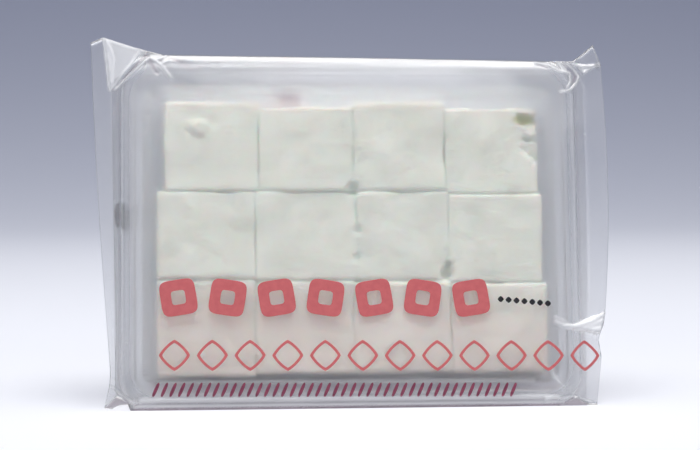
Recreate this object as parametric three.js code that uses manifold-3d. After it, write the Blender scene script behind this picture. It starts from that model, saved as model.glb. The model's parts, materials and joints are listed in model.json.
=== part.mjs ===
// A sealed bag of marshmallow squares. Twelve cut squares lie in a shallow tray, four
// across and three up, and frosted film is drawn tight around the tray and sealed down
// both sides. The pack stands on its long lower side and leans back on the slope of the
// tray's wall. Millimetres, +Z up, the shown face towards -Y, the origin on the floor
// under the middle of the pack.
import * as THREE from "three";
import { mergeVertices } from "three/addons/utils/BufferGeometryUtils.js";
import Module from "manifold-3d";

// The tray inside the film, measured over the film
const rimWidth = 160;
const rimHeight = 121;
const packDepth = 35;
const rimFlange = 5;
const rimCornerRadius = 8;

// The walls slope in towards the tray's base, and the pack leans back by that slope
const wallSlope = THREE.MathUtils.degToRad(10);
const wallInset = packDepth * Math.tan(wallSlope);

// The side seams: flat fins outside the tray's rim and nearly level with it, as the rim is
// its widest part. Each one's edge stands out from the rim by a foot and a top, with a
// belly between and one local bump.
const seamDepth = 2.4;
const finThickness = 0.8;
const finRootShare = 0.3;
const leftSeam = { foot: 1.2, top: 9.3, height: 130, belly: 0.9, bump: 3.1, at: 0, spread: 7.5 };
const rightSeam = { foot: 4.1, top: 8.4, height: 125, belly: 3.6, bump: -1.5, at: 23, spread: 4 };

// Across the bag a place is given as a station, in mm from the middle. Past the rim the
// stations run on over finStations mm to the seam's edge, however far out that lies.
const halfRim = rimWidth / 2;
const finStations = 10;
const finRoot = halfRim + finRootShare * finStations;
const seamStation = halfRim + finStations;

// The upper edge stands up in a pointed ear at each end: [station, height up the face]
const upperEdge = [
  [-seamStation, 126.7], [-85.1, 128.6], [-71, 124.1], [-64, 122.4], [-7, 121.7],
  [71, 120.4], [79, 120.5], [87.3, 126.4], [seamStation, 119.3],
];
// The lower edge lies on the floor, but for a lift at the left seam's foot: [station, gap]
const lowerEdge = [
  [-seamStation, 0.9], [-84, 0.6], [-79, 2.0], [-76.4, 2.2], [-75.7, 0], [seamStation, 0],
];

// Film can't follow a corner, so it spans it with a flat facet. A crease starts at the
// first point, on the upper or lower edge, and the face falls away past it.
const cornerFacets = [
  { at: [-71, 124.1], towards: [-82.4, 110.3], fall: 1.0 },
  { at: [73, 121], towards: [80, 112.5], fall: 1.0 },
  { at: [-74, 0], towards: [-80, 9], fall: 0.8 },
  { at: [73, 0], towards: [80, 10], fall: 0.9 },
];
const backFacetReach = 13;

// The squares press the film out of a shallow hollow inside the rim
const mouthHollow = 1.5;
const squareRise = 1.2;
const squareBevel = 1.0;
const squareCorner = 2.5;
const squareGap = 1.2;
const squaresAcross = 4;
const lowestSquares = 12;
// Rows from the bottom up: left side of the row, pitch across, height of its squares
const rows = [
  { left: -67.2, pitch: 34.0, tall: 32.4 },
  { left: -67.4, pitch: 33.6, tall: 30.6 },
  { left: -64.6, pitch: 32.7, tall: 31.6 },
];
const topRowDrop = [0, 1.8, 0, 2.6];
const squareTurn = [-0.6, 0.5, 0, 0.9, -0.4, 0.3, 0.7, -0.8, -0.3, 0.4, -0.5, 0.2];

const lerp = THREE.MathUtils.lerp;
const clamp = THREE.MathUtils.clamp;

// The value at x on a line through a few [x, value] points
function alongPoints(points, x) {
  const last = points.length - 1;
  const i = clamp(points.findIndex((p) => p[0] > x) - 1, 0, last - 1);
  const start = x >= points[last][0] ? last - 1 : i;
  const [x0, y0] = points[start];
  const [x1, y1] = points[start + 1];
  return lerp(y0, y1, clamp((x - x0) / (x1 - x0), 0, 1));
}

// How far the seam's edge stands out from the rim at a height up the face
function seamReach(side, height) {
  const seam = side < 0 ? leftSeam : rightSeam;
  const share = height / seam.height;
  const local = seam.bump * Math.exp(-(((height - seam.at) / seam.spread) ** 2));
  return lerp(seam.foot, seam.top, share) + seam.belly * Math.sin(Math.PI * share) + local;
}

// The share of the way from the rim to the seam's edge, 0 over the tray itself
const finShare = (station) => Math.max(0, (Math.abs(station) - halfRim) / finStations);

// How far a place lies past a corner's crease, on the face seen from the front
function pastCrease({ at, towards }, across, height) {
  const run = new THREE.Vector2(towards[0] - at[0], towards[1] - at[1]).normalize();
  const outward = new THREE.Vector2(-run.y, run.x);
  const middle = new THREE.Vector2(-at[0], rimHeight / 2 - at[1]);
  if (outward.dot(middle) > 0) outward.negate();
  return outward.dot(new THREE.Vector2(across - at[0], height - at[1]));
}

const frontLimit = seamDepth - finThickness / 2;
const backLimit = seamDepth + finThickness / 2;

// A point of the front sheet: [across, depth, height up the face]
function frontPoint(station, height) {
  const side = Math.sign(station);
  const share = finShare(station);
  const across = share > 0 ? side * (halfRim + share * seamReach(side, height)) : station;
  const facets = cornerFacets.map((f) => f.fall * pastCrease(f, across, height));
  const sideFall = (frontLimit * share) / finRootShare;
  return [across, Math.min(frontLimit, Math.max(0, sideFall, ...facets)), height];
}

// The same facets on the back sheet, which is smaller by the slope of the walls
const baseHalf = halfRim - wallInset;
const backFacets = [-1, 1].flatMap((side) =>
  [[wallInset, 1], [rimHeight - wallInset, -1]].map(([edge, inward]) => ({
    at: [side * (baseHalf - backFacetReach), edge],
    towards: [side * baseHalf, edge + inward * backFacetReach],
    fall: 1.0,
  })),
);

// A point of the back sheet, which narrows to meet the front sheet at the fin's root
function backPoint(station, height) {
  const side = Math.sign(station);
  const share = finShare(station);
  const reach = seamReach(side, height);
  let across = (station * baseHalf) / halfRim;
  if (share > finRootShare) across = side * (halfRim + share * reach);
  else if (share > 0)
    across = side * lerp(baseHalf, halfRim + finRootShare * reach, share / finRootShare);
  const facets = backFacets.map((f) => f.fall * pastCrease(f, across, height));
  const sideFall = ((packDepth - backLimit) * share) / finRootShare;
  return [across, Math.max(backLimit, packDepth - Math.max(0, sideFall, ...facets)), height];
}

// The height up the leaning face at which a sheet is clear of the floor by a gap
function heightOverFloor(pointAt, station, gap) {
  let height = 0;
  for (let pass = 0; pass < 20; pass++)
    height = (gap + pointAt(station, height)[1] * Math.sin(wallSlope)) / Math.cos(wallSlope);
  return height;
}

// The front sheet's lowest and highest points at a station
function frontEdges(station) {
  const gap = alongPoints(lowerEdge, station);
  return [heightOverFloor(frontPoint, station, gap), alongPoints(upperEdge, station)];
}

// The back sheet's, which run from the tray's base out to the front's at the fin's root
function backEdges(station) {
  const [low, high] = frontEdges(station);
  const start = baseHalf - backFacetReach;
  const meet = clamp((Math.abs(station) - start) / (finRoot - start), 0, 1);
  if (meet === 1) return [low, high];
  const gap = alongPoints(lowerEdge, station);
  return [heightOverFloor(backPoint, station, gap), lerp(rimHeight - wallInset, high, meet)];
}

// Stations close together round the ears and wide apart over the flat face
function stations() {
  const outer = [seamStation, (finRoot + seamStation) / 2, finRoot, (halfRim + finRoot) / 2, halfRim];
  for (let s = 78; s >= 64; s -= 2) outer.push(s);
  outer.push(54, 36, 18);
  return [...outer.map((s) => -s), 0, ...outer.reverse()];
}

// Shares of the way up a sheet, close together at both ends
function sheetRows() {
  const near = [0, 0.02, 0.04, 0.06, 0.08, 0.1];
  const middle = [0.22, 0.36, 0.5, 0.64, 0.78];
  return [...near, ...middle, ...near.map((r) => 1 - r).reverse()];
}

// The bag's closed skin: a loop up the front, over the top, down the back and under the
// floor side at each station, and a strip that closes the fin at each end
function bagSkin() {
  const across = stations();
  const up = sheetRows();
  const wallSteps = 3;
  const loops = across.map((station) => {
    const [frontLow, frontHigh] = frontEdges(station);
    const [backLow, backHigh] = backEdges(station);
    const front = up.map((r) => frontPoint(station, lerp(frontLow, frontHigh, r)));
    const back = up.map((r) => backPoint(station, lerp(backLow, backHigh, r))).reverse();
    const mix = (a, b, share) => a.map((x, c) => lerp(x, b[c], share));
    const between = (a, b) =>
      Array.from({ length: wallSteps - 1 }, (_, k) => mix(a, b, (k + 1) / wallSteps));
    const over = between(front[front.length - 1], back[0]);
    const under = between(back[back.length - 1], front[0]);
    return [...front, ...over, ...back, ...under];
  });
  const ring = loops[0].length;
  const index = [];
  const quad = (a, b, c, d) => index.push(a, b, c, a, c, d);
  for (let j = 0; j + 1 < loops.length; j++)
    for (let i = 0; i < ring; i++) {
      const next = (i + 1) % ring;
      quad(j * ring + i, (j + 1) * ring + i, (j + 1) * ring + next, j * ring + next);
    }
  // Each fin's edge is closed by a strip between its front and its back
  const rows = up.length;
  const behind = (i) => (2 * rows + wallSteps - 2 - i) % ring;
  for (let i = -1; i < rows; i++) {
    const low = (i + ring) % ring;
    const next = i + 1;
    const strip = [low, next, behind(next), behind(i)];
    quad(...strip);
    quad(...strip.reverse().map((k) => (loops.length - 1) * ring + k));
  }
  const geometry = new THREE.BufferGeometry();
  geometry.setAttribute("position", new THREE.Float32BufferAttribute(loops.flat(2), 3));
  geometry.setIndex(index);
  return geometry;
}

// A rectangle with round corners, its middle at the origin
function roundedRectangle(width, height, radius) {
  const shape = new THREE.Shape();
  const x = width / 2;
  const y = height / 2;
  shape.moveTo(-x + radius, -y);
  shape.lineTo(x - radius, -y).absarc(x - radius, -y + radius, radius, -Math.PI / 2, 0);
  shape.lineTo(x, y - radius).absarc(x - radius, y - radius, radius, 0, Math.PI / 2);
  shape.lineTo(-x + radius, y).absarc(-x + radius, y - radius, radius, Math.PI / 2, Math.PI);
  shape.lineTo(-x, -y + radius).absarc(-x + radius, -y + radius, radius, Math.PI, 1.5 * Math.PI);
  return shape;
}

// A slab of that outline with a sloped front edge, its front face at the given depth
function slab(width, height, radius, front, thickness, bevel, curveSegments) {
  const outline = roundedRectangle(width - 2 * bevel, height - 2 * bevel, radius - bevel);
  const edge = { bevelSize: bevel, bevelThickness: bevel, bevelSegments: 1 };
  const geometry = new THREE.ExtrudeGeometry(outline, {
    depth: thickness - 2 * bevel, curveSegments, ...edge,
  });
  // The outline stands in the face's plane: height up, thickness into the pack
  return geometry.translate(0, 0, bevel).rotateX(-Math.PI / 2).translate(0, front, 0);
}

// The twelve squares' front pads, in rows from the bottom up
function squarePads() {
  const pads = [];
  let low = lowestSquares;
  rows.forEach(({ left, pitch, tall }, row) => {
    const top = row === rows.length - 1;
    for (let column = 0; column < squaresAcross; column++) {
      const height = tall - squareGap - (top ? topRowDrop[column] : 0);
      const turn = THREE.MathUtils.degToRad(squareTurn[row * squaresAcross + column]);
      const pad = slab(
        pitch - squareGap, height, squareCorner,
        mouthHollow - squareRise, squareRise + 2, squareBevel, 2,
      );
      pad.rotateY(turn).translate(left + (column + 0.5) * pitch, 0, low + squareGap / 2 + height / 2);
      pads.push(pad);
    }
    low += tall;
  });
  return pads;
}

const wasm = await Module();
wasm.setup();

// A closed geometry as a solid that can be cut and joined
function solid(geometry) {
  const plain = geometry.clone();
  for (const name of ["normal", "uv"]) plain.deleteAttribute(name);
  const merged = mergeVertices(plain, 1e-4);
  const made = new wasm.Manifold(
    new wasm.Mesh({
      numProp: 3,
      vertProperties: new Float32Array(merged.attributes.position.array),
      triVerts: new Uint32Array(merged.index.array),
    }),
  );
  if (made.volume() > 0) return made;
  throw new Error("a solid is inside out");
}

function toGeometry(manifold) {
  const { numProp, vertProperties, triVerts } = manifold.getMesh();
  const geometry = new THREE.BufferGeometry();
  const buffer = new THREE.InterleavedBuffer(vertProperties, numProp);
  geometry.setAttribute("position", new THREE.InterleavedBufferAttribute(buffer, 3, 0));
  geometry.setIndex(new THREE.BufferAttribute(triVerts, 1));
  const flat = geometry.toNonIndexed();
  flat.computeVertexNormals();
  return flat;
}

// The hollow of the tray's mouth, which is cut into the flat front
const mouthCut = 6;
const mouth = slab(
  rimWidth - 2 * rimFlange, rimHeight - 2 * rimFlange, rimCornerRadius,
  mouthHollow - mouthCut, mouthCut, mouthHollow, 6,
).translate(0, 0, rimHeight / 2);

let body = solid(bagSkin()).subtract(solid(mouth));
for (const pad of squarePads()) body = body.add(solid(pad));

const film = new THREE.MeshStandardMaterial({ color: 0xd2d4d6, roughness: 0.35, metalness: 0 });
const bag = new THREE.Mesh(toGeometry(body), film);
bag.name = "sealed_bag";
bag.rotation.x = -wallSlope;
const pack = new THREE.Group();
pack.add(bag);

// The floor is at the lowest point, and the origin under the middle of the pack
const extent = new THREE.Box3().setFromObject(bag, true);
const middle = extent.getCenter(new THREE.Vector3());
bag.position.set(-middle.x, -middle.y, -extent.min.z);

export default pack;
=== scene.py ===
# A bag of marshmallow squares: twelve squares in a clear tray, frosted film drawn round it.
# The pack stands on its long side and leans back. Lengths are in mm until lean() places them.
import itertools
import json
import math
import bmesh
import bpy
import numpy as np
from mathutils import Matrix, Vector

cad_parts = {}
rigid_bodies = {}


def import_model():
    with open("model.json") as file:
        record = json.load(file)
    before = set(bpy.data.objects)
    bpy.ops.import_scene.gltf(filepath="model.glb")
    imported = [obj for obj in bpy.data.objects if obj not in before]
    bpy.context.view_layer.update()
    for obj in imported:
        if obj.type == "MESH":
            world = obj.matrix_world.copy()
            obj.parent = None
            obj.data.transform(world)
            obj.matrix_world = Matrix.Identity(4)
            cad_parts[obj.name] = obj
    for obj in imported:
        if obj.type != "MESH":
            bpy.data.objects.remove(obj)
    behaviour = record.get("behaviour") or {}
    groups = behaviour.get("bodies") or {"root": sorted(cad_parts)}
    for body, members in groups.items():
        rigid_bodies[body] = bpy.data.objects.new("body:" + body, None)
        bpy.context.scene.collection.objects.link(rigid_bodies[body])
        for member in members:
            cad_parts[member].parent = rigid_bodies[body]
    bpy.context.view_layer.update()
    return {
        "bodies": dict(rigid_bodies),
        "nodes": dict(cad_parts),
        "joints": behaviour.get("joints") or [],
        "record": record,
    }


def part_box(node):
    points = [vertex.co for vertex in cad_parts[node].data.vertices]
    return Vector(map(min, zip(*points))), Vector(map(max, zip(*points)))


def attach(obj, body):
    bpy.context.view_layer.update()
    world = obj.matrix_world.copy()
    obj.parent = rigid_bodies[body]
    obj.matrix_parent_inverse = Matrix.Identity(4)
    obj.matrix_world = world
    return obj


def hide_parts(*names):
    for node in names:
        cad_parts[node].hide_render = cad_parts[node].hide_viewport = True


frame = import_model()
bagLow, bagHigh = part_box("sealed_bag")
mm = 0.001

# The pack's own sizes, the same as the solid's
pack = {
    "rimWidth": 160.0,
    "rimHeight": 121.0,
    "depth": 35.0,
    "mouthInset": 6.5,  # from the rim's edge to the tray's mouth
    "cornerRadius": 12.0,  # of the rim
    "mouthRadius": 8.0,
    "slope": math.radians(10),  # of the tray's walls, and the lean of the pack
}
halfRim = pack["rimWidth"] / 2
rimHeight = pack["rimHeight"]
wallInset = pack["depth"] * math.tan(pack["slope"])
baseHalf = halfRim - wallInset


# Turns across, depth and height up the face into metres in the frame, leaning back by the slope
def lean(across, depth, height):
    along, into = math.sin(pack["slope"]), math.cos(pack["slope"])
    x = bagLow.x + (across - leftEnd) * mm
    y = bagLow.y + (height * along + depth * into) * mm
    z = bagLow.z + (height * into - depth * along) * mm
    return np.stack(np.broadcast_arrays(x, y, z), axis=-1)


# 0 below low, 1 above high, and a smooth S between
def smooth(low, high, x):
    t = np.clip((x - low) / (high - low), 0, 1)
    return t * t * (3 - 2 * t)


# The larger of two fields, with the crease between them rounded over about blend mm
def softMax(a, b, blend):
    return (a + b + np.sqrt((a - b) ** 2 + blend**2)) / 2


# Smooth noise from -1 to 1: random numbers on a lattice of cells, blended between corners
def softNoise(points, cell, seed):
    lattice = np.random.default_rng(seed).uniform(-1, 1, (32, 32, 32))
    place = points / cell
    low = np.floor(place).astype(int)
    part = smooth(0, 1, place - low)
    total = 0
    for corner in itertools.product((0, 1), repeat=3):
        i = (low + corner) % 32
        weight = np.prod(np.where(np.array(corner, bool), part, 1 - part), axis=-1)
        total = total + weight * lattice[i[..., 0], i[..., 1], i[..., 2]]
    return total


# The distance from each place to a line through a few points, all on the face
def distanceToLine(across, height, line):
    nearest = np.full(np.broadcast(across, height).shape, 1e9)
    for (x0, y0), (x1, y1) in zip(line, line[1:]):
        dx, dy = x1 - x0, y1 - y0
        t = np.clip(((across - x0) * dx + (height - y0) * dy) / (dx * dx + dy * dy), 0, 1)
        nearest = np.minimum(nearest, np.hypot(across - x0 - t * dx, height - y0 - t * dy))
    return nearest


# How far a place lies inside a rectangle with round corners: negative outside it
def insideRectangle(across, height, width, tall, radius):
    x = np.abs(across) - (width / 2 - radius)
    y = np.abs(height) - (tall / 2 - radius)
    corner = np.hypot(np.maximum(x, 0), np.maximum(y, 0))
    return radius - corner - np.minimum(np.maximum(x, y), 0)


# Quads between neighbours of a grid of points that is rows by columns, each row closed round on
# itself if asked
def gridFaces(rows, columns, closed=False, start=0):
    i = np.arange(rows - 1)[:, None]
    j = np.arange(columns if closed else columns - 1)[None, :]
    over = (j + 1) % columns
    low, high = i * columns, (i + 1) * columns
    corners = np.broadcast_arrays(low + j, high + j, high + over, low + over)
    return np.stack(corners, axis=-1).reshape(-1, 4) + start


# One number of a material's node tree, so that shader maths reads as an expression
class Wire:
    def __init__(self, finish, socket):
        self.finish = finish
        self.socket = socket

    def math(self, operation, *values):
        return self.finish.node("ShaderNodeMath", {"operation": operation}, dict(enumerate(values)))

    def __add__(self, other):
        return self.math("ADD", self, other)

    def __sub__(self, other):
        return self.math("SUBTRACT", self, other)

    def __rsub__(self, other):
        return self.math("SUBTRACT", other, self)

    def __mul__(self, other):
        return self.math("MULTIPLY", self, other)

    def __pow__(self, other):
        return self.math("POWER", self, other)

    __radd__ = __add__
    __rmul__ = __mul__

    def between(self, low, high):
        settings = {"interpolation_type": "SMOOTHSTEP"}
        return self.finish.node("ShaderNodeMapRange", settings, {0: self, 1: low, 2: high})


# A material and its nodes. node() adds any node: its type, its settings, then what its sockets get
class Finish:
    def __init__(self, name):
        self.material = bpy.data.materials.new(name)
        self.material.use_nodes = True
        self.tree = self.material.node_tree
        self.tree.nodes.clear()

    def node(self, kind, settings=None, sockets=None, output=0):
        made = self.tree.nodes.new(kind)
        for key, value in (settings or {}).items():
            setattr(made, key, value)
        for key, value in (sockets or {}).items():
            if isinstance(value, Wire):
                self.tree.links.new(value.socket, made.inputs[key])
            else:
                made.inputs[key].default_value = value
        return Wire(self, made.outputs[output])

    def place(self):
        return self.node("ShaderNodeTexCoord", output="Object")

    def noise(self, scale, detail=3.0, stretch=(1, 1, 1)):
        moved = self.node("ShaderNodeMapping", {}, {"Vector": self.place(), "Scale": stretch})
        return self.node("ShaderNodeTexNoise", {}, {"Vector": moved, "Scale": scale, "Detail": detail})

    def mixColour(self, factor, a, b):
        settings = {"data_type": "RGBA"}
        return self.node("ShaderNodeMix", settings, {0: factor, 6: a, 7: b}, output=2)

    def bump(self, height, strength, distance):
        sockets = {"Height": height, "Strength": strength, "Distance": distance}
        return self.node("ShaderNodeBump", {}, sockets)

    def surface(self, shader):
        out = self.tree.nodes.new("ShaderNodeOutputMaterial")
        self.tree.links.new(shader.socket, out.inputs["Surface"])

    # Clear stuff lets light through to what is inside it, tinted, rather than casting a shadow
    def glassy(self, shader, tint):
        shadow = self.node("ShaderNodeLightPath", output="Is Shadow Ray")
        clear = self.node("ShaderNodeBsdfTransparent", {}, {"Color": tint})
        self.surface(self.node("ShaderNodeMixShader", {}, {0: shadow, 1: shader, 2: clear}))
        return self.material


# Linear colour from the 0 to 255 values that a screen shows
def colour(red, green, blue):
    screen = np.array([red, green, blue]) / 255
    linear = np.where(screen <= 0.04045, screen / 12.92, ((screen + 0.055) / 1.055) ** 2.4)
    return (*linear.tolist(), 1.0)


# A mesh object from points in metres and quads, riding on the pack
def makePiece(name, points, faces, material):
    mesh = bpy.data.meshes.new(name)
    mesh.from_pydata(points.reshape(-1, 3).tolist(), [], list(faces))
    mesh.polygons.foreach_set("use_smooth", np.ones(len(mesh.polygons), bool))
    mesh.materials.append(material)
    piece = bpy.data.objects.new(name, mesh)
    bpy.context.scene.collection.objects.link(piece)
    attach(piece, "root")
    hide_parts("sealed_bag")
    return piece


# Stores a number from 0 to 1 at each point of a piece, for its material to read
def storeShare(piece, name, values):
    layer = piece.data.attributes.new(name, "FLOAT", "POINT")
    layer.data.foreach_set("value", np.asarray(values, np.float32).ravel())


# Merges points that share a place, so that a ring shrunk to nothing becomes a closed pole
def closePoles(mesh):
    shape = bmesh.new()
    shape.from_mesh(mesh)
    bmesh.ops.remove_doubles(shape, verts=shape.verts, dist=1e-7)
    shape.to_mesh(mesh)
    shape.free()


# Gives a sheet its thickness, in mm, inward from the surface as it is modelled
def thicken(piece, thickness):
    solidify = piece.modifiers.new("thickness", "SOLIDIFY")
    solidify.thickness = thickness * mm
    solidify.offset = -1


# The film. Across the bag a place is given as a station, in mm from the middle; past the rim
# ten stations run out to the seam's edge, however far out that lies.
film = {
    "thickness": 0.25,
    "seamDepth": 2.4,
    "finThickness": 0.8,
    "finRoot": 0.3,  # share of the way out where front and back meet
    "leftSeam": {"foot": 1.2, "top": 9.3, "height": 130, "belly": 0.9,
                 "bump": 3.1, "at": 0, "spread": 7.5},
    "rightSeam": {"foot": 4.1, "top": 8.4, "height": 125, "belly": 3.6,
                  "bump": -1.5, "at": 23, "spread": 4},
    "upperEdge": [(-90, 126.7), (-85.1, 128.6), (-71, 124.1), (-64, 122.4), (-7, 121.7),
                  (71, 120.4), (79, 120.5), (87.3, 126.4), (90, 119.3)],
    "lowerEdge": [(-90, 0.9), (-84, 0.6), (-79, 2.0), (-76.4, 2.2), (-75.7, 0), (90, 0)],
    "rimTop": [(-64, 122.4), (71, 120.4)],  # the rim's upper edge falls a little to the right
    "cornerFacets": [
        {"at": (-71, 124.1), "towards": (-82.4, 110.3), "fall": 1.0},
        {"at": (73, 121), "towards": (80, 112.5), "fall": 1.0},
        {"at": (-74, 0), "towards": (-80, 9), "fall": 0.8},
        {"at": (73, 0), "towards": (80, 10), "fall": 0.9},
    ],
    "backFacetReach": 13.0,
    "creaseBlend": 0.35,
    # Over the rim's edge: how wide at each place across, how deep, how uneven and how far apart
    "roll": {"widths": [(-60, 3.3), (0, 4.9), (70, 4.6)], "depth": 1.6, "uneven": 0.2, "cell": 17.0},
    "proudest": 1.0,  # how far a crease may stand in front of the rim
    "sag": {"margin": 1.3, "overSquares": 0.5, "run": 9.0},
    "slack": {"front": 0.1, "back": 0.25, "cell": 14.0, "fineCell": 5.0, "backCell": 18.0},
    "tight": (0.5, -4.0),  # from how far inside the mouth it lies slack, and where it is tight
    "looseAbove": {"height": (108.0, 114.0), "across": (74.0, 64.0)},
    "panelEdge": (-0.02, 0.04),  # a panel fades in over these shares of it
    "wallSteps": 8,
}
block = {"middle": 59.5, "wide": 134.0, "tall": 95.0, "radius": 6.0}  # all the squares together
finStations = 10.0
seamStation = halfRim + finStations
frontLimit = film["seamDepth"] - film["finThickness"] / 2
backLimit = film["seamDepth"] + film["finThickness"] / 2

# Creases pressed into the front of the film: a line on the face, how far it stands proud, how
# wide it is to each side, and how much painted highlight (white) or painted shade (dark) lies along it
creases = [
    # The left ear: the triangle's two bright edges, then the double fold beside the tray
    {"line": [(-84.6, 128.6), (-82.5, 110.2)], "rise": 0.8, "width": 0.8, "white": 1.0},
    {"line": [(-84.2, 127.9), (-82.0, 123.5), (-81.4, 120.5), (-82.1, 111.5)],
     "rise": 0.5, "width": 0.9, "white": 0.9},
    {"line": [(-83.4, 126.5), (-82.4, 118.0), (-82.2, 112.0)], "width": 1.6, "white": 0.5},
    {"line": [(-84.6, 128.6), (-78.4, 126.5), (-70.9, 124.0)], "rise": 0.4, "width": 1.3, "white": 0.8},
    {"line": [(-72.1, 123.7), (-80.8, 111.9), (-82.3, 110.2)], "rise": 0.6, "width": 0.6, "white": 0.9},
    {"line": [(-71.2, 123.0), (-80.4, 111.6)], "width": 1.4, "white": 0.2},
    {"line": [(-70.2, 122.4), (-79.8, 111.5)], "rise": -0.7, "width": 0.6, "dark": 0.6},
    {"line": [(-69.2, 121.1), (-74.5, 116.0), (-80.8, 110.3)], "rise": 0.7, "width": 0.7, "white": 1.0},
    {"line": [(-69.7, 121.8), (-66.4, 115.9)], "rise": -0.8, "width": 1.1, "dark": 0.4},
    {"line": [(-69.3, 121.1), (-66.9, 120.4), (-65.2, 121.0), (-63.2, 122.2)],
     "rise": 0.5, "width": 0.6, "white": 0.9},
    {"line": [(-66.6, 119.8), (-64.5, 117.8), (-61.3, 113.7)], "rise": 0.8, "width": 0.8, "white": 1.0},
    {"line": [(-64.6, 118.9), (-62.0, 120.2)], "rise": 0.5, "width": 0.6, "white": 0.8},
    {"line": [(-62.6, 121.6), (-59.1, 119.9), (-55.6, 118.2)], "rise": -0.3, "width": 1.3, "dark": 0.25},
    # The upper right corner: two arcs, the fold between them in painted shade, and the line to the seam
    {"line": [(72.9, 120.3), (75.0, 117.1), (77.2, 115.9), (77.6, 113.1), (76.3, 110.6)],
     "rise": 0.8, "width": 0.6, "white": 1.0},
    {"line": [(75.3, 120.2), (78.5, 118.1), (80.7, 115.1), (80.0, 113.1), (78.3, 110.8), (76.3, 109.6),
              (73.8, 109.3)], "rise": 0.8, "width": 0.6, "white": 1.0},
    {"line": [(75.4, 119.0), (78.0, 117.2), (79.4, 115.0), (78.7, 112.4)], "rise": -0.7, "width": 0.9,
     "dark": 0.35},
    {"line": [(73.6, 120.2), (76.2, 117.4)], "rise": 0.2, "width": 1.0, "white": 0.7},
    {"line": [(65.2, 119.8), (70.1, 118.6), (73.5, 116.8), (77.4, 115.8)],
     "rise": 0.7, "width": 0.8, "white": 1.0},
    {"line": [(66.5, 118.9), (69.5, 117.9)], "rise": -0.4, "width": 0.8, "dark": 0.4},
    {"line": [(78.8, 119.7), (82.0, 118.6), (85.0, 118.7), (88.3, 119.4)],
     "rise": 0.9, "width": 0.7, "white": 1.0},
    # The pinch low on the right seam: three small ridges that fan out to the seam's edge
    {"line": [(70.2, 28.9), (73.5, 27.4), (78.9, 27.9), (83.2, 29.3), (87.9, 32.3)],
     "rise": 0.6, "width": 0.9, "white": 0.9},
    {"line": [(73.5, 27.3), (80.0, 26.9), (86.8, 29.3)], "rise": 0.4, "width": 1.0, "white": 0.8},
    {"line": [(73.5, 27.3), (79.0, 25.9), (85.8, 26.6)], "rise": 0.3, "width": 1.0, "white": 0.7},
    {"line": [(70.0, 30.5), (73.8, 28.6)], "rise": 0.3, "width": 0.9, "white": 0.5},
    # The lower corners
    {"line": [(68.6, 12.8), (68.9, 10.7), (72.6, 6.4)], "rise": 0.4, "width": 0.7, "white": 0.7},
    {"line": [(66.0, 2.8), (76.8, 3.3), (82.5, 1.4)], "rise": 0.5, "width": 0.8, "white": 0.5},
    {"line": [(-81.8, 8.6), (-78.9, 6.0), (-75.2, 3.4)], "rise": 0.4, "width": 0.7, "white": 0.6},
    {"line": [(-84.1, 1.5), (-80.4, 5.0), (-75.2, 3.4)], "rise": 0.5, "width": 0.7, "white": 0.4},
    # The folded strip along the floor with painted highlights on its folds, painted shade for the
    # squares' shadow above it, and a painted dark contact line along the floor
    {"line": [(-65.0, 9.4), (62.0, 8.9)], "rise": 0.2, "width": 0.9, "white": 0.3},
    {"line": [(-66.0, 7.6), (68.0, 7.0)], "width": 4.2, "dark": 0.26},
    {"line": [(-72.0, 3.7), (70.0, 3.4)], "rise": 0.4, "width": 1.3, "white": 0.5},
    {"line": [(-73.0, 2.5), (70.0, 2.3)], "rise": -0.3, "width": 0.5, "dark": 0.4},
    {"line": [(-74.0, 1.7), (72.0, 1.6)], "rise": 0.3, "width": 0.9, "white": 0.6},
    {"line": [(-75.0, 0.3), (80.0, 0.2)], "width": 1.1, "dark": 0.9},
    # Soft patches painted onto the film: painted light over the upper margin, the bottom band, both
    # side margins and two upper corners, and painted darkening at the upper left and just below the
    # print on the back
    {"line": [(-34.0, 116.8), (52.0, 115.6)], "width": 6.0, "white": 0.22},
    {"line": [(-14.0, 116.6), (36.0, 115.9)], "width": 6.0, "white": 0.3},
    {"line": [(-50.0, 113.6), (56.0, 112.4)], "width": 4.0, "white": 0.36},
    {"line": [(-30.0, 113.3), (40.0, 112.4)], "width": 4.0, "white": 0.25},
    {"line": [(-72.0, 3.9), (66.0, 3.6)], "width": 2.6, "white": 0.3},
    {"line": [(-71.5, 106.0), (-71.5, 16.0)], "width": 6.0, "white": 0.28},
    {"line": [(70.5, 96.0), (71.5, 20.0)], "width": 5.0, "white": 0.2},
    {"line": [(-58.0, 110.6), (-42.0, 109.9)], "width": 4.5, "dark": 0.12},
    {"line": [(-22.5, 107.4), (-19.8, 107.2)], "width": 4.0, "dark": 0.42},
    {"line": [(68.0, 104.0), (74.0, 99.5)], "width": 7.0, "white": 0.14},
    {"line": [(-70.0, 115.5), (-62.0, 110.0)], "width": 5.0, "white": 0.1},
]
# Lines round the tray, where the film is drawn over its outer edge and its mouth, up to a height:
# painted shade along the outer edge and a faint painted highlight along the mouth
rimLines = [
    {"inset": 0.8, "radius": 11.2, "width": 0.7, "rise": 0.1, "dark": 0.16, "below": 108.0},
    {"inset": 5.6, "radius": 8.5, "width": 0.8, "rise": 0.15, "white": 0.1, "below": 130.0},
]
# Flat panels that the film folds into at its corners: three places on the face, how deep each
# lies, and how much painted highlight (white) or painted shade (dark) lies on the panel
panels = [
    {"corners": [(-84.7, 128.6), (-71.0, 124.1), (-82.4, 110.4)], "depths": (2.0, 2.0, 0.0),
     "white": 0.6},
    {"corners": [(79.5, 119.4), (88.4, 119.4), (82.0, 115.2)], "depths": (2.0, 2.0, 0.0),
     "white": 0.4},
    {"corners": [(73.5, 27.4), (88.4, 32.6), (85.6, 24.6)], "depths": (0.0, 2.0, -0.8),
     "white": 0.8},
    {"corners": [(-84.6, 1.0), (-80.4, 5.0), (-75.0, 2.6)], "depths": (1.6, 0.0, 1.4),
     "white": 0.5, "dark": 0.9},
    {"corners": [(68.5, -0.5), (76.8, 3.2), (82.0, -0.5)], "depths": (1.6, 0.0, 1.6),
     "white": 0.5, "dark": 0.9},
]


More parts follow.
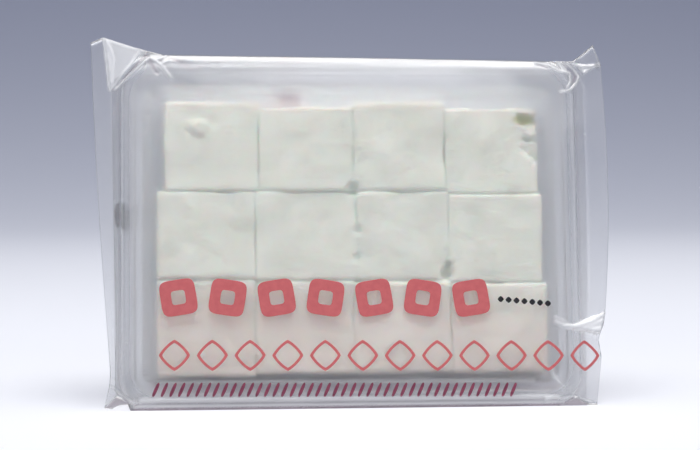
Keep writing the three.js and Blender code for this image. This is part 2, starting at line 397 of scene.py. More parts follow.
# How far the seam's edge stands out from the rim at a height up the face: a straight line from
# foot to top, a belly between them, and one local bump or dent
def seamReach(side, height):
    def reach(foot, top, height, belly, bump, at, spread, up):
        share = up / height
        local = bump * np.exp(-(((up - at) / spread) ** 2))
        return foot + (top - foot) * share + belly * np.sin(math.pi * share) + local

    return np.where(side < 0, reach(**film["leftSeam"], up=height), reach(**film["rightSeam"], up=height))


leftEnd = -halfRim - float(seamReach(-1, film["upperEdge"][0][1]))  # where the bag's box begins


# The share of the way from the rim to the seam's edge, 0 over the tray itself
def finShare(station):
    return np.maximum(0, (np.abs(station) - halfRim) / finStations)


# How far a place lies past a corner's crease line, outward from the middle of the face
def pastCrease(facet, across, height):
    start, end = np.array(facet["at"]), np.array(facet["towards"])
    run = (end - start) / np.linalg.norm(end - start)
    outward = np.array([-run[1], run[0]])
    if outward @ (np.array([0, rimHeight / 2]) - start) > 0:
        outward = -outward
    return outward[0] * (across - start[0]) + outward[1] * (height - start[1])


# How far a place on the face lies inside the tray's mouth
def insideMouth(across, height):
    inset = pack["mouthInset"]
    wide, tall = pack["rimWidth"] - 2 * inset, rimHeight - 2 * inset
    return insideRectangle(across, height - rimHeight / 2, wide, tall, pack["mouthRadius"])


# The film between the rims: it dips along the margin and comes up again over the squares
def mouthSag(across, height):
    sag = film["sag"]
    overBlock = insideRectangle(across, height - block["middle"], block["wide"], block["tall"],
                                block["radius"])
    dip = sag["margin"] * smooth(0, sag["run"], insideMouth(across, height))
    lift = (sag["margin"] - sag["overSquares"]) * smooth(-2, 5, overBlock)
    return dip - lift


# The shares of a triangle's three corners at each place on the face: all positive inside it
def cornerShares(across, height, corners):
    (x0, y0), (x1, y1), (x2, y2) = corners
    area = (x1 - x0) * (y2 - y0) - (x2 - x0) * (y1 - y0)
    first = ((x1 - across) * (y2 - height) - (x2 - across) * (y1 - height)) / area
    second = ((x2 - across) * (y0 - height) - (x0 - across) * (y2 - height)) / area
    return np.stack([first, second, 1 - first - second], axis=-1)


# How near each place is to any crease, times what the crease is asked for: rise, painted
# highlight (white) or painted shade (dark)
def creaseField(across, height, key, power):
    total = np.zeros(np.broadcast(across, height).shape)
    for crease in creases:
        if crease.get(key):
            away = distanceToLine(across, height, crease["line"]) / crease["width"]
            total = total + crease[key] * np.maximum(0, 1 - away) ** power
    for ring in rimLines:
        if ring.get(key):
            inset = insideRectangle(across, height - rimHeight / 2, pack["rimWidth"], rimHeight,
                                    ring["radius"])
            away = np.abs(inset - ring["inset"]) / ring["width"]
            shown = smooth(ring["below"] + 6, ring["below"], height)
            total = total + ring[key] * shown * np.maximum(0, 1 - away) ** power
    return total


# Painted highlight (white) or painted shade (dark) on the front: along the creases, and over each
# panel
def shading(across, height, key):
    total = creaseField(across, height, key, 1.0)
    for panel in panels:
        inside = cornerShares(across, height, panel["corners"]).min(axis=-1)
        total = total + panel.get(key, 0) * smooth(*film["panelEdge"], inside)
    return np.clip(total, 0, 1)


# Where the film lies tight: 1 in the seams and on the tray's flange, 0 over its mouth and along
# the upper flange, where it stands off a little
def tightness(across, height):
    loose = film["looseAbove"]
    upper = smooth(*loose["height"], height) * smooth(*loose["across"], np.abs(across))
    return smooth(*film["tight"], insideMouth(across, height)) * (1 - upper)


# The front sheet's depth: flat on the rim, rolled over its edge, falling to the seam past it,
# with a flat facet across each corner, the panels laid in, and the creases standing proud
def frontDepth(station, across, height):
    share = finShare(station)
    roll = film["roll"]
    top = np.interp(station, *zip(*film["rimTop"]))
    toEdge = insideRectangle(station, height - top / 2, pack["rimWidth"], top, pack["cornerRadius"])
    along = np.stack(np.broadcast_arrays(across, 0.0, 0.0), axis=-1)
    uneven = 1 + roll["uneven"] * softNoise(along, roll["cell"], 8)
    width = np.interp(station, *zip(*roll["widths"])) * uneven
    rolled = roll["depth"] * (1 - np.clip(toEdge / width, 0, 1)) ** 2
    depth = np.maximum(rolled, frontLimit * share / film["finRoot"])
    for facet in film["cornerFacets"]:
        depth = softMax(depth, facet["fall"] * pastCrease(facet, across, height), film["creaseBlend"])
    for panel in panels:
        shares = cornerShares(across, height, panel["corners"])
        inside = smooth(*film["panelEdge"], shares.min(axis=-1))
        depth = depth + (shares @ panel["depths"] - depth) * inside
    depth = depth + mouthSag(across, height) - creaseField(across, height, "rise", 1.3)
    spot = np.stack(np.broadcast_arrays(across, height * 0.7, 0.0), axis=-1)
    slack = film["slack"]
    wander = softNoise(spot, slack["cell"], 3) + 0.4 * softNoise(spot, slack["fineCell"], 4)
    depth = depth + slack["front"] * wander * smooth(0, 6, toEdge)
    return np.minimum(frontLimit, np.maximum(-film["proudest"], depth))


# The station of a place on the front, the same but for the stretch past the rim
def stationAt(across, height):
    side, past = np.sign(across), np.abs(across) - halfRim
    stretched = side * (halfRim + past * finStations / seamReach(side, height))
    return np.where(past > 0, stretched, across)


# A point of the front sheet: across, depth and height
def frontPoint(station, height):
    side, share = np.sign(station), finShare(station)
    across = np.where(share > 0, side * (halfRim + share * seamReach(side, height)), station)
    return across, frontDepth(station, across, height), height


backFacets = [
    {"at": (side * (baseHalf - film["backFacetReach"]), edge),
     "towards": (side * baseHalf, edge + inward * film["backFacetReach"])}
    for side in (-1, 1)
    for edge, inward in ((wallInset, 1), (rimHeight - wallInset, -1))
]


# A point of the back sheet, which narrows to meet the front sheet at the fin's root
def backPoint(station, height):
    side, share, root = np.sign(station), finShare(station), film["finRoot"]
    reach = seamReach(side, height)
    inner = baseHalf + (halfRim + root * reach - baseHalf) * share / root
    outer = halfRim + share * reach
    past = side * np.where(share > root, outer, inner)
    across = np.where(share > 0, past, station * baseHalf / halfRim)
    fall = (pack["depth"] - backLimit) * share / root
    for facet in backFacets:
        fall = softMax(fall, pastCrease(facet, across, height), film["creaseBlend"])
    spot = np.stack(np.broadcast_arrays(across, height, 40.0), axis=-1)
    inset = np.minimum(baseHalf - np.abs(across), np.minimum(height, rimHeight - height) - wallInset)
    slack = film["slack"]
    fall = fall + slack["back"] * (1 + softNoise(spot, slack["backCell"], 5)) * smooth(1, 10, inset)
    return across, np.maximum(backLimit, pack["depth"] - np.maximum(0, fall)), height


# The height up the face at which a sheet is clear of the floor by a gap, found by repeating
def heightOverFloor(pointAt, station, gap):
    height = np.zeros_like(station)
    for _ in range(20):
        depth = pointAt(station, height)[1]
        height = (gap + depth * math.sin(pack["slope"])) / math.cos(pack["slope"])
    return height


# Values from low to high, their steps in proportion to the sizes asked for along the way
def gradedSteps(places, sizes):
    fine = np.linspace(places[0], places[-1], 4001)
    count = np.concatenate([[0], np.cumsum(np.diff(fine) / np.interp(fine[1:], places, sizes))])
    steps = int(round(count[-1]))
    return np.interp(np.linspace(0, count[-1], steps + 1), count, fine)


# Faces that close a fin's edge. Front and back have rows of their own, so triangles zip the two
# together in order of height, and a wider face closes each end round the wall's steps.
def finEnd(front, back, wallSteps):
    n, m = len(front), len(back)
    ring = n + m + 2 * wallSteps
    behind = n + wallSteps + m - 1 - np.arange(m)  # the back's rows from the bottom up
    frontMiddle = (front[1:-2] + front[2:-1]) / 2
    backMiddle = (back[1:-2] + back[2:-1]) / 2
    i, j = np.arange(1, n - 2), np.arange(1, m - 2)
    toBack = behind[1 + np.searchsorted(backMiddle, frontMiddle)]
    toFront = 1 + np.searchsorted(frontMiddle, backMiddle)
    onFront = np.stack([i, i + 1, toBack], -1)
    onBack = np.stack([toFront, behind[j + 1], behind[j]], -1)
    top = [n - 2, n - 1, *range(n, n + wallSteps), behind[m - 1], behind[m - 2]]
    bottom = [*range(behind[0], ring), 0, 1, behind[1]]
    return onFront.tolist() + onBack.tolist() + [[int(k) for k in face] for face in (top, bottom)]


# The closed bag: a loop up the front, over the top, down the back and under at each station,
# and the fin's edge closed at each end. The grid is finest round the creased corners.
def makeFilm(material):
    station = gradedSteps([-90, -62, -55, 55, 62, 90], [0.42, 0.45, 2.4, 2.4, 0.45, 0.42])
    share = gradedSteps([0, 0.04, 0.1, 0.15, 0.19, 0.2, 0.28, 0.29, 0.33, 0.76, 0.82, 1],
                        [0.0034, 0.004, 0.008, 0.014, 0.012, 0.0045, 0.0045, 0.012, 0.014, 0.014, 0.0038,
                         0.0034])
    backShare = gradedSteps([0, 0.12, 0.88, 1], [0.01, 0.03, 0.03, 0.01])
    gap = np.interp(station, *zip(*film["lowerEdge"]))
    frontLow = heightOverFloor(frontPoint, station, gap)
    frontHigh = np.interp(station, *zip(*film["upperEdge"]))
    start, end = baseHalf - film["backFacetReach"], halfRim + film["finRoot"] * finStations
    meet = np.clip((np.abs(station) - start) / (end - start), 0, 1)
    backLow = np.where(meet == 1, frontLow, heightOverFloor(backPoint, station, gap))
    backHigh = rimHeight - wallInset + (frontHigh - rimHeight + wallInset) * meet

    def sheet(pointAt, low, high, up):
        height = low[:, None] + (high - low)[:, None] * up[None, :]
        return np.stack(np.broadcast_arrays(*pointAt(station[:, None], height)), axis=-1)

    front = sheet(frontPoint, frontLow, frontHigh, share)
    back = sheet(backPoint, backLow, backHigh, backShare)[:, ::-1]
    wall = np.linspace(0, 1, film["wallSteps"] + 2)[1:-1][None, :, None]
    over = front[:, -1:] + (back[:, :1] - front[:, -1:]) * wall
    under = back[:, -1:] + (front[:, :1] - back[:, -1:]) * wall
    loops = np.concatenate([front, over, back, under], axis=1)
    count, ring = loops.shape[:2]
    end = finEnd(share, backShare, film["wallSteps"])
    last = (count - 1) * ring
    otherEnd = [[last + i for i in reversed(face)] for face in end]
    faces = gridFaces(count, ring, closed=True).tolist() + end + otherEnd
    piece = makePiece("film", lean(*np.moveaxis(loops, -1, 0)), faces, material)
    # The front's painted highlight and painted shade, stored for the film's material to read
    for name, key in (("painted_highlight", "white"), ("painted_shade", "dark")):
        shade = np.zeros((count, ring))
        shade[:, :len(share)] = shading(front[..., 0], front[..., 2], key)
        storeShare(piece, name, shade)
    tight = np.tile(smooth(0.0, film["finRoot"], finShare(station))[:, None], (1, ring))
    tight[:, :len(share)] = tightness(front[..., 0], front[..., 2])
    storeShare(piece, "tight", tight)
    thicken(piece, film["thickness"])
    return piece


# The clear tray: a flange round a deep pan with sloped walls and a round edge to its base
tray = {
    "wall": 0.4,
    "clearance": 0.6,  # inside the film
    "front": 0.6,  # the flange's depth behind the film's face
    "base": 33.7,
    "lip": {"wide": 4.4, "deep": 3.4},  # the flange's outer edge rolls down
    "flat": 5.3,  # inset at which the flange turns down
    "bend": 0.7,
    "step": {"deep": 3.0, "wide": 1.2},  # a ledge just inside the mouth
    "baseEdge": 8.0,
}


# A ring round the tray: its outline, inset from the rim all round, with an arc at each corner
def roundedRing(inset, radius):
    x, y = halfRim - inset - radius, rimHeight / 2 - inset - radius
    quarters = ((x, -y), (x, y), (-x, y), (-x, -y))
    arc = np.linspace(0, math.pi / 2, 13)
    arcs = []
    for k, (cx, cy) in enumerate(quarters):
        turn = arc + k * math.pi / 2
        arcs.append(np.stack([cx + radius * np.sin(turn), cy - radius * np.cos(turn)], -1))
    along = np.linspace(0, 1, 33)[1:-1, None]
    sides = [a[-1] + (b[0] - a[-1]) * along for a, b in zip(arcs, arcs[1:] + arcs[:1])]
    return np.concatenate([part for pair in zip(arcs, sides) for part in pair])


# The tray's section as (inset, depth): the lip, the flange, down a step and out onto its ledge,
# down the sloped wall, and round onto the base
def trayProfile():
    slope, front, bend, edge = pack["slope"], tray["front"], tray["bend"], tray["baseEdge"]
    wide, deep = tray["lip"]["wide"], tray["lip"]["deep"]
    turn = np.linspace(0, math.pi / 2, 9)
    bends = np.linspace(0, math.pi / 2 - slope, 5)
    lip = np.stack([wide * (1 - np.cos(turn)), deep * (1 - np.sin(turn))], -1)
    lip = lip + [tray["clearance"], front]

    # Round down from level onto the slope, and, turned over, from the slope back to level
    down = bend * np.stack([np.sin(bends), 1 - np.cos(bends)], -1)
    level = (down[-1] - down)[::-1]
    first = np.array([tray["flat"], front]) + down
    fall = np.array([math.tan(slope), 1.0])
    ledge = first[-1] + fall * (tray["step"]["deep"] - 2 * down[-1, 1]) + level
    second = ledge[-1] + [tray["step"]["wide"], 0] + down
    foot = tray["base"] - edge * (1 - math.sin(slope))
    wall = second[-1] + fall * (foot - second[-1, 1]) * np.linspace(0, 1, 12)[1:, None]
    turn = np.linspace(slope, math.pi / 2, 10)[1:]
    inward = wall[-1, 0] + edge * (math.cos(slope) - np.cos(turn))
    onward = tray["base"] - edge * (1 - np.sin(turn))
    return np.concatenate([lip, first, ledge, second, wall, np.stack([inward, onward], -1)])


# The tray's skin: a ring at each point of the section, and the last one shrinks to its middle
def makeTray(material):
    rings = []
    for inset, depth in trayProfile():
        ring = roundedRing(inset, max(pack["cornerRadius"] - 0.8 * inset, 3.0))
        rings.append(np.column_stack([ring, np.full(len(ring), depth)]))
    rings += [rings[-1] * [share, share, 1] for share in (0.85, 0.7, 0.5, 0.3, 0.1, 0)]
    rings = np.array(rings)
    faces = gridFaces(*rings.shape[:2], closed=True)[:, ::-1]
    points = lean(rings[..., 0], rings[..., 2], rings[..., 1] + rimHeight / 2)
    piece = makePiece("tray", points, faces, material)
    closePoles(piece.data)
    thicken(piece, tray["wall"])
    return piece


# The squares, in rows from the bottom up: where each row is cut across, the gaps at the cuts,
# and each square's foot and head up the face
squares = {
    "front": 2.7,
    "back": 33.2,
    "edge": 1.4,
    "steps": 64,
    "lumps": [(11.0, 0.45), (4.5, 0.16), (1.8, 0.07)],  # size of the lumps, and their height
    "bow": 0.5,
}
squareRows = [
    {"cuts": [-66.7, -32.8, 1.0, 34.6, 68.0], "gaps": [-0.2, -0.7, -0.5],
     "feet": [11.4, 12.1, 12.1, 11.8], "heads": [44.7, 44.1, 43.7, 43.0]},
    {"cuts": [-66.9, -32.8, 2.1, 34.0, 66.6], "gaps": [-0.2, -0.5, -0.6],
     "feet": [44.5, 43.8, 43.4, 42.7], "heads": [75.3, 75.2, 75.1, 73.9]},
    {"cuts": [-64.1, -31.4, 1.0, 33.1, 65.8], "gaps": [-0.2, -0.5, -0.2],
     "feet": [75.1, 75.0, 74.9, 73.7], "heads": [106.4, 104.6, 106.4, 104.0]},
]
# Marks on the fronts: where, how wide, how far they go in or (negative) stand out, and how steep
# their sides are
marks = [
    {"at": (-54.6, 102.4), "width": 2.6, "deep": 0.5, "steep": 3},
    {"at": (-47.0, 98.6), "width": 2.2, "deep": 0.35, "steep": 3},
    {"at": (-52.0, 97.4), "width": 2.9, "deep": -0.8, "steep": 6},
    {"at": (-55.6, 95.9), "width": 0.9, "deep": 0.35, "steep": 4},
    {"at": (-54.0, 94.2), "width": 0.9, "deep": 0.35, "steep": 4},
    {"at": (-51.8, 93.3), "width": 0.9, "deep": 0.35, "steep": 4},
    {"at": (2.2, 61.5), "width": 1.5, "deep": 1.1, "steep": 3},
    {"at": (1.9, 51.8), "width": 1.5, "deep": 0.8, "steep": 3},
    {"at": (33.6, 49.0), "width": 1.3, "deep": 2.4, "steep": 3},
    {"at": (33.0, 46.0), "width": 1.9, "deep": 3.4, "steep": 3},
    {"at": (1.0, 75.4), "width": 2.2, "deep": 1.8, "steep": 3},
    {"at": (61.6, 89.4), "width": 1.2, "deep": 2.0, "steep": 3},
    {"at": (63.4, 87.6), "width": 1.2, "deep": 2.4, "steep": 3},
    {"at": (65.2, 85.9), "width": 1.2, "deep": 2.6, "steep": 3},
]
# The torn corner of the last square of the top row: past this line the front is torn away
torn = {
    "line": [(56.6, 105.0), (57.7, 104.1), (59.0, 99.5), (60.7, 97.0), (60.3, 92.1), (61.9, 89.2),
             (66.1, 84.6)],
    "deep": 3.4,
    "shallow": 1.5,
    "cuts": [(100.0, 1.9), (93.2, 0.9)],  # height up the face, and half height
    "stain": {"at": (61.4, 100.0), "width": 4.4, "tall": 2.1},
}


# A cube's skin from -1 to 1: six square grids, closer together near the edges, merged
def cubeSkin(steps):
    t = np.linspace(-1, 1, steps + 1)
    t = 0.55 * t + 0.45 * np.sin(t * math.pi / 2)
    a, b = np.meshgrid(t, t, indexing="ij")
    one = np.ones_like(a)
    sides = [(one, a, b), (-one, b, a), (b, one, a), (a, -one, b), (a, b, one), (b, a, -one)]
    points = np.concatenate([np.stack(side, axis=-1).reshape(-1, 3) for side in sides])
    faces = np.concatenate([gridFaces(steps + 1, steps + 1, start=k * a.size) for k in range(6)])
    kept, which = np.unique(points.round(6), axis=0, return_inverse=True)
    return kept, which.reshape(-1)[faces]


# How far past the torn edge a place on the face is: 0 on the whole part, rising over it
def tornShare(across, height):
    line = torn["line"]
    edge = np.interp(height, [p[1] for p in line][::-1], [p[0] for p in line][::-1])
    return smooth(-0.2, 1.2, across - edge) * smooth(line[-1][1] - 1, line[-1][1] + 1, height)


# One square: a block with round edges, bowed sides, lumps of three sizes, and its marks. The
# block's middle and half sizes place it; past its core every point is pushed onto a round edge.
def makeSquare(name, sides, seed, material, isTorn):
    draw = np.random.default_rng(seed)
    skin, faces = cubeSkin(squares["steps"])
    low, high = np.array(sides).T
    half, middle = (high - low) / 2, (high + low) / 2
    edge = squares["edge"] * draw.uniform(0.8, 1.25)
    place = skin * half
    core = np.clip(place, edge - half, half - edge)
    out = place - core
    normal = out / np.maximum(np.linalg.norm(out, axis=1, keepdims=True), 1e-9)
    place = core + normal * edge
    # Each side is bowed most in its middle
    flat = 1 - (place / half) ** 2
    bow = squares["bow"] * draw.uniform(-0.5, 1.0, 3)
    place = place + np.sign(place) * (normal**2 > 0.98) * bow * np.stack(
        [flat[:, 1] * flat[:, 2], flat[:, 0] * flat[:, 2], flat[:, 0] * flat[:, 1]], axis=-1)
    place = place + middle
    for k, (cell, rise) in enumerate(squares["lumps"]):
        place = place + normal * (rise * softNoise(place + seed * 7.3, cell, seed * 3 + k))[:, None]
    across, depth, height = place.T
    facing = smooth(0.2, 0.9, -normal[:, 1])
    for mark in marks:
        away = np.hypot(across - mark["at"][0], height - mark["at"][1]) / mark["width"]
        depth = depth + facing * mark["deep"] * np.exp(-(away ** mark["steep"]))
    stain, torn_bare_and_shade = np.zeros(len(place)), np.zeros(len(place))
    if isTorn:
        share = tornShare(across, height) * smooth(20, 12, depth)
        cuts = sum(np.exp(-(((height - at) / tall) ** 4)) for at, tall in torn["cuts"])
        rough = 1 + 0.25 * softNoise(place, 2.2, 77)
        depth = depth + share * rough * (torn["shallow"] + (torn["deep"] - torn["shallow"]) * cuts)
        spot = torn["stain"]
        far = np.hypot((across - spot["at"][0]) / spot["width"], (height - spot["at"][1]) / spot["tall"])
        # Where the tear cuts deepest the foam is painted greyer: partly its own torn colour, partly painted
        # shade in the cuts
        stain = smooth(1.3, 0.6, far)
        torn_bare_and_shade = share * cuts
    piece = makePiece(name, lean(across, depth, height), faces, material)
    storeShare(piece, "stain", stain)
    storeShare(piece, "torn_bare_and_shade", np.clip(torn_bare_and_shade, 0, 1))
    return piece


def makeSquares(material):
    top = len(squareRows) - 1
    for row, cut in enumerate(squareRows):
        gaps = [0, *cut["gaps"], 0]
        for column in range(len(cut["feet"])):
            left = cut["cuts"][column] + gaps[column] / 2
            right = cut["cuts"][column + 1] - gaps[column + 1] / 2
            seed = 11 + row * 4 + column
            front = squares["front"] + np.random.default_rng(seed + 40).uniform(-0.5, 0.5)
            sides = [(left, right), (front, squares["back"]), (cut["feet"][column], cut["heads"][column])]
            isTorn = row == top and column == 3
            makeSquare(f"square_{row + 1}_{column + 1}", sides, seed, material, isTorn)


# The print lies on the outside of the film: plain shapes in three inks, in mm on the face
printing = {"proud": 0.12, "thickness": 0.06}
boldRow = {"first": (-59.3, 38.4), "pitch": 16.7, "fall": 0.5, "count": 7, "size": 12.2, "stroke": 3.7,
           "turn": 9.0}
thinRow = {"first": (-60.7, 18.8), "pitch": 12.8, "fall": 0.6, "count": 12, "size": 10.5, "stroke": 1.1}
cordRow = {"first": (-67.0, 7.2), "pitch": 2.9, "fall": 0.6, "count": 43, "long": 2.6, "wide": 0.55,
           "slant": 24.0}
dotRow = {"first": (51.2, 37.0), "pitch": 2.75, "fall": 5.5, "count": 7, "size": 1.05}
backBar = {"at": (-22.0, 110.8), "half": (8.0, 4.0)}
eyeMark = {"at": (-81.8, 67.6), "half": (0.9, 4.8)}  # the packing machine reads it; on the left wall


# The outline of a rounded shape by angle: power 2 is an ellipse, and more is squarer
def roundedOutline(halfWide, halfTall, power, turn, count):
    t = np.arange(count) * 2 * math.pi / count
    x = halfWide * np.sign(np.cos(t)) * np.abs(np.cos(t)) ** (2 / power)
    y = halfTall * np.sign(np.sin(t)) * np.abs(np.sin(t)) ** (2 / power)
    c, s = math.cos(turn), math.sin(turn)
    return np.stack([c * x - s * y, s * x + c * y], axis=-1)


# A patch of ink: rings of its outline from the inner share to the edge, laid on the film
def inkPatch(centre, outline, inner):
    rim = 0.02
    shares = np.array([inner, inner + rim, *np.linspace(inner + rim, 1 - rim, 6)[1:-1], 1 - rim, 1])
    flat = np.array(centre) + outline[None, :, :] * shares[:, None, None]
    across, height = flat[..., 0], flat[..., 1]
    depth = frontDepth(stationAt(across, height), across, height) - printing["proud"]
    return lean(across, depth, height), gridFaces(len(shares), len(outline), closed=True)


# Several patches as one piece
def makeInk(name, patches, material):
    points, faces, start = [], [], 0
    for patchPoints, patchFaces in patches:
        points.append(patchPoints.reshape(-1, 3))
        faces.append(patchFaces + start)
        start += len(points[-1])
    piece = makePiece(name, np.concatenate(points), np.concatenate(faces), material)
    closePoles(piece.data)
    thicken(piece, printing["thickness"])
    return piece


# The middles of a row's motifs, which run to the right and fall a little by an angle
def along(row):
    step = np.arange(row["count"])[:, None] * row["pitch"]
    fall = math.radians(row["fall"])
    return np.array(row["first"]) + step * np.array([math.cos(fall), -math.sin(fall)])


def makePrint(coral, deepCoral, plum, black):
    half = boldRow["size"] / 2
    turns = math.radians(boldRow["turn"]) * np.resize([1, -1], boldRow["count"])
    inner = 1 - boldRow["stroke"] / half
    frames = [roundedOutline(half, half, 5, turn, 64) for turn in turns]
    bold = [inkPatch(at, frame, inner) for at, frame in zip(along(boldRow), frames)]
    makeInk("print_squares", bold, coral)
    half = thinRow["size"] / 2
    diamond = roundedOutline(half, half, 1.25, 0, 64)
    thin = [inkPatch(at, diamond, 1 - thinRow["stroke"] / half) for at in along(thinRow)]
    makeInk("print_diamonds", thin, coral)
    stroke = roundedOutline(cordRow["long"], cordRow["wide"], 2.6, math.radians(90 - cordRow["slant"]), 24)
    makeInk("print_cord", [inkPatch(at, stroke, 0) for at in along(cordRow)], plum)
    dot = roundedOutline(dotRow["size"], dotRow["size"], 1.4, 0, 24)
    makeInk("print_dots", [inkPatch(at, dot, 0) for at in along(dotRow)], black)
    for name, mark, finish, slotName in (("print_back_bar", backBar, deepCoral, "coral_print"),
                                         ("print_eye_mark", eyeMark, black, "black_print")):
        outline = roundedOutline(*mark["half"], 3, 0, 48) * np.linspace(0, 1, 7)[:, None, None]
        station, height = np.moveaxis(np.array(mark["at"]) + outline, -1, 0)
        across, depth, height = backPoint(station, height)
        proud = printing["proud"]
        spot = lean(across + proud * np.sign(across) * (finShare(station) > 0), depth + proud, height)
        makeInk(name, [(spot, gridFaces(7, 48, closed=True)[:, ::-1])], finish)


# Frosted film: rough glass that blurs what lies behind it, with a thin white haze that thickens
# as painted highlight, glass darkened to a purple grey as painted shade, and a soft gloss
def frostedFilm():
    f = Finish("frosted film")
    cloud = f.noise(60, 3, (1, 1, 0.6))
    streak = f.noise(240, 2, (0.4, 1, 2.5))
    height = cloud * 0.7 + streak * 0.3
    normal = f.bump(height, 0.25, 0.0004)
    # Painted highlight thickens the white haze; painted shade darkens the glass to a purple grey
    painted_highlight = f.node("ShaderNodeAttribute", {"attribute_name": "painted_highlight"}, output=2)
    painted_shade = f.node("ShaderNodeAttribute", {"attribute_name": "painted_shade"}, output=2)
    tight = f.node("ShaderNodeAttribute", {"attribute_name": "tight"}, output=2)
    clear = f.mixColour(cloud, (0.98, 0.983, 0.988, 1), (0.992, 0.992, 0.992, 1))
    glass = f.node("ShaderNodeBsdfPrincipled", {}, {
        "Base Color": f.mixColour(painted_shade, clear, (0.37, 0.26, 0.32, 1)),
        "Roughness": cloud * 0.08 + 0.36 - tight * 0.2,
        "IOR": 1.45,
        "Transmission Weight": 1.0,
        "Coat Weight": 0.6,
        "Coat Roughness": 0.15,
        "Normal": normal,
    })
    glow = f.node("ShaderNodeBsdfPrincipled", {}, {
        "Base Color": f.mixColour(streak, (0.86, 0.87, 0.89, 1), (0.92, 0.92, 0.93, 1)),
        "Roughness": cloud * 0.1 + 0.3,
        "Normal": normal,
    })
    through = f.node("ShaderNodeBsdfTranslucent", {}, {"Color": (0.9, 0.9, 0.9, 1)})
    haze = f.node("ShaderNodeMixShader", {}, {0: 0.35, 1: glow, 2: through})
    cells = f.node("ShaderNodeTexVoronoi", {}, {"Vector": f.place(), "Scale": 120.0})
    fleck = 1.0 - cells.between(0.02, 0.05)
    share = cloud.between(0.25, 0.75) * 0.03 + 0.03 + painted_highlight * 0.7 + fleck * 0.5
    hazy = f.node("ShaderNodeMixShader", {}, {0: share, 1: glass, 2: haze})
    return f.glassy(hazy, (0.88, 0.88, 0.885, 1))


# Clear sheet plastic, a little milky, more so in the middle of its length
def clearTray():
    f = Finish("clear tray")
    drawn = f.noise(45, 2, (1, 1, 0.3))
    clear = f.node("ShaderNodeBsdfPrincipled", {}, {
        "Base Color": f.mixColour(drawn, (0.94, 0.95, 0.97, 1), (0.975, 0.98, 0.985, 1)),
        "Roughness": drawn * 0.05 + 0.16,
        "IOR": 1.5,
        "Specular IOR Level": 0.3,
        "Transmission Weight": 0.97,
        "Normal": f.bump(drawn, 0.3, 0.0003),
    })
    milk = f.node("ShaderNodeBsdfTranslucent", {}, {"Color": (0.9, 0.92, 0.94, 1)})
    side = f.node("ShaderNodeSeparateXYZ", {}, {0: f.place()}, output=0)
    milky = (1.0 - side.math("ABSOLUTE", side).between(0.015, 0.07)) * 0.08 + 0.04
    sheet = f.node("ShaderNodeMixShader", {}, {0: milky, 1: clear, 2: milk})
    return f.glassy(sheet, (0.78, 0.78, 0.8, 1))


# Marshmallow: soft matt white with a dusting of starch, pitted, stained olive where torn, with
# painted warm shade over the lowest row, and greyer, partly painted shade, in the torn corner's cuts
def marshmallowFoam():
    f = Finish("marshmallow foam")
    patch, pits, grain = f.noise(90, 4), f.noise(900, 3), f.noise(3200, 2)
    # The lowest row is painted warmer and darker: painted shade for the print's tinted shadow on it
    rise = f.node("ShaderNodeSeparateXYZ", {}, {0: f.place()}, output=2)
    low = 1.0 - rise.between(0.026, 0.048)
    pale = f.mixColour(patch.between(0.3, 0.7), colour(216, 217, 205), colour(226, 227, 217))
    white = f.mixColour(low * 0.7, pale, colour(222, 211, 202))
    torn_bare_and_shade = f.node("ShaderNodeAttribute", {"attribute_name": "torn_bare_and_shade"}, output=2)
    stain = f.node("ShaderNodeAttribute", {"attribute_name": "stain"}, output=2)
    # Torn foam greyer where cut deepest: partly its own colour, partly painted shade
    torn = f.mixColour(torn_bare_and_shade * 0.6, white, colour(196, 199, 192))
    tinted = f.mixColour(stain * 0.85, torn, colour(156, 160, 88))
    height = patch * 0.5 + pits.between(0.3, 0.6) * 0.35 + grain * 0.15
    shader = f.node("ShaderNodeBsdfPrincipled", {}, {
        "Base Color": tinted,
        "Roughness": patch * 0.1 + 0.82,
        "Subsurface Weight": 0.4,
        "Subsurface Scale": 0.004,
        "Normal": f.bump(height, 0.5, 0.0005),
    })
    f.surface(shader)
    return f.material


# Ink on film: slightly uneven cover, satin. Light that gets through it is tinted.
def ink(name, light, dark, shade):
    f = Finish(name)
    cover = f.noise(500, 4)
    shader = f.node("ShaderNodeBsdfPrincipled", {}, {
        "Base Color": f.mixColour(cover.between(0.25, 0.75), dark, light),
        "Roughness": cover * 0.15 + 0.4,
        "Normal": f.bump(cover, 0.1, 0.00005),
    })
    return f.glassy(shader, shade)


makeFilm(frostedFilm())
makeTray(clearTray())
print("stage: film and tray")
makeSquares(marshmallowFoam())
print("stage: squares")
makePrint(
    ink("coral ink", colour(208, 106, 106), colour(200, 98, 99), (0.6, 0.36, 0.33, 1)),
    ink("deep coral ink", colour(196, 52, 66), colour(184, 44, 58), (0.6, 0.3, 0.3, 1)),
    ink("plum ink", colour(140, 62, 84), colour(112, 44, 68), (0.3, 0.1, 0.17, 1)),
    ink("black ink", colour(44, 40, 44), colour(22, 20, 22), (0.1, 0.1, 0.1, 1)),
)
print("stage: print")

# The studio: a pale floor whose colour darkens away from the pack as painted falloff of light, a
# soft light above, a faint one in front, and a narrow one at each side for the film's gloss
studio = {
    "reach": 6.0,  # to each side, and forward
    "bend": {"from": 0.9, "radius": 1.2},  # where the floor starts to curve up, and how gently
    "rise": 5.0,
    "near": colour(243, 244, 248),
    "far": colour(150, 155, 177),
    "painted_falloff": (0.55, 2.25),  # from the pack's middle back, in metres
    "sky": (0.23, 0.255, 0.34, 1.0),
    "lights": [
        {"name": "overhead", "at": (0.0, -0.2, 1.25), "to": (0, 0, 0.05), "size": (1.4, 0.8), "watts": 17.0,
         "tint": (1.0, 0.985, 0.95)},
        {"name": "front", "at": (0.25, -1.5, 0.7), "to": (0, 0, 0.05), "size": (1.2, 0.8), "watts": 0.3,
         "tint": (1.0, 0.985, 0.95)},
        {"name": "left strip", "at": (-0.9, -0.8, 0.5), "to": (0, 0, 0.06), "size": (0.15, 0.7),
         "watts": 0.7, "tint": (1.0, 1.0, 1.0)},
        {"name": "right strip", "at": (0.9, -0.7, 0.5), "to": (0, 0, 0.06), "size": (0.15, 0.7),
         "watts": 0.6, "tint": (1.0, 1.0, 1.0)},
    ],
}


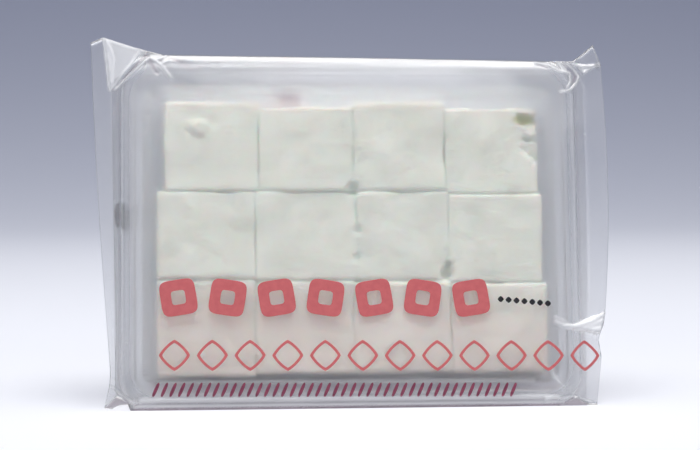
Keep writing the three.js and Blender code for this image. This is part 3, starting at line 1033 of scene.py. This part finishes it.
# The floor and backdrop: one sheet, level, then curving up a quarter turn, then upright
def makeFloor():
    f = Finish("pale backdrop")
    back = f.node("ShaderNodeSeparateXYZ", {}, {0: f.place()}, output=1)
    speck = f.noise(30, 3)
    # The colour goes from near to far with distance back from the pack: painted falloff of the light
    shader = f.node("ShaderNodeBsdfDiffuse", {}, {
        "Color": f.mixColour(back.between(*studio["painted_falloff"]), studio["near"], studio["far"]),
        "Roughness": speck * 0.1 + 0.3,
    })
    f.surface(shader)
    start, radius = studio["bend"]["from"], studio["bend"]["radius"]
    turn = np.linspace(0, math.pi / 2, 33)
    path = np.concatenate([
        [[-studio["reach"], 0], [0, 0]],
        np.stack([start + radius * np.sin(turn), radius * (1 - np.cos(turn))], -1),
        [[start + radius, studio["rise"]]],
    ])
    x = np.array([-1, 1]) * studio["reach"]
    sheet = np.stack(np.broadcast_arrays(x[None, :], path[:, :1], path[:, 1:]), axis=-1)
    mesh = bpy.data.meshes.new("backdrop")
    mesh.from_pydata(sheet.reshape(-1, 3).tolist(), [], gridFaces(len(path), 2)[:, ::-1].tolist())
    mesh.polygons.foreach_set("use_smooth", np.ones(len(mesh.polygons), bool))
    mesh.materials.append(f.material)
    backdrop = bpy.data.objects.new("backdrop", mesh)
    bpy.context.scene.collection.objects.link(backdrop)


def aim(thing, at, target):
    thing.location = at
    thing.rotation_mode = "QUATERNION"
    thing.rotation_quaternion = (Vector(target) - Vector(at)).to_track_quat("-Z", "Y")


def makeStudio():
    scene = bpy.context.scene
    world = bpy.data.worlds.new("studio")
    world.use_nodes = True
    world.node_tree.nodes["Background"].inputs["Color"].default_value = studio["sky"]
    scene.world = world
    scene.view_settings.view_transform = "Standard"
    makeFloor()
    for light in studio["lights"]:
        lamp = bpy.data.lights.new(light["name"], "AREA")
        lamp.shape = "RECTANGLE"
        lamp.size, lamp.size_y = light["size"]
        lamp.energy = light["watts"]
        lamp.color = light["tint"]
        made = bpy.data.objects.new(light["name"], lamp)
        scene.collection.objects.link(made)
        aim(made, light["at"], light["to"])


# The camera stands a little to the left of the pack's middle and looks a little down
camera = {
    "lens": 100.0,
    "away": 0.684,
    "azimuth": math.radians(-4.5),
    "elevation": math.radians(3.5),
    "target": (0.0003, 0.0, 0.0609),
}


def makeCamera():
    data = bpy.data.cameras.new("camera")
    data.lens = camera["lens"]
    made = bpy.data.objects.new("camera", data)
    bpy.context.scene.collection.objects.link(made)
    turn, rise = camera["azimuth"], camera["elevation"]
    back = Vector((math.sin(turn) * math.cos(rise), -math.cos(turn) * math.cos(rise), math.sin(rise)))
    aim(made, Vector(camera["target"]) + back * camera["away"], camera["target"])
    bpy.context.scene.camera = made


makeStudio()
makeCamera()
print("stage: studio and camera")
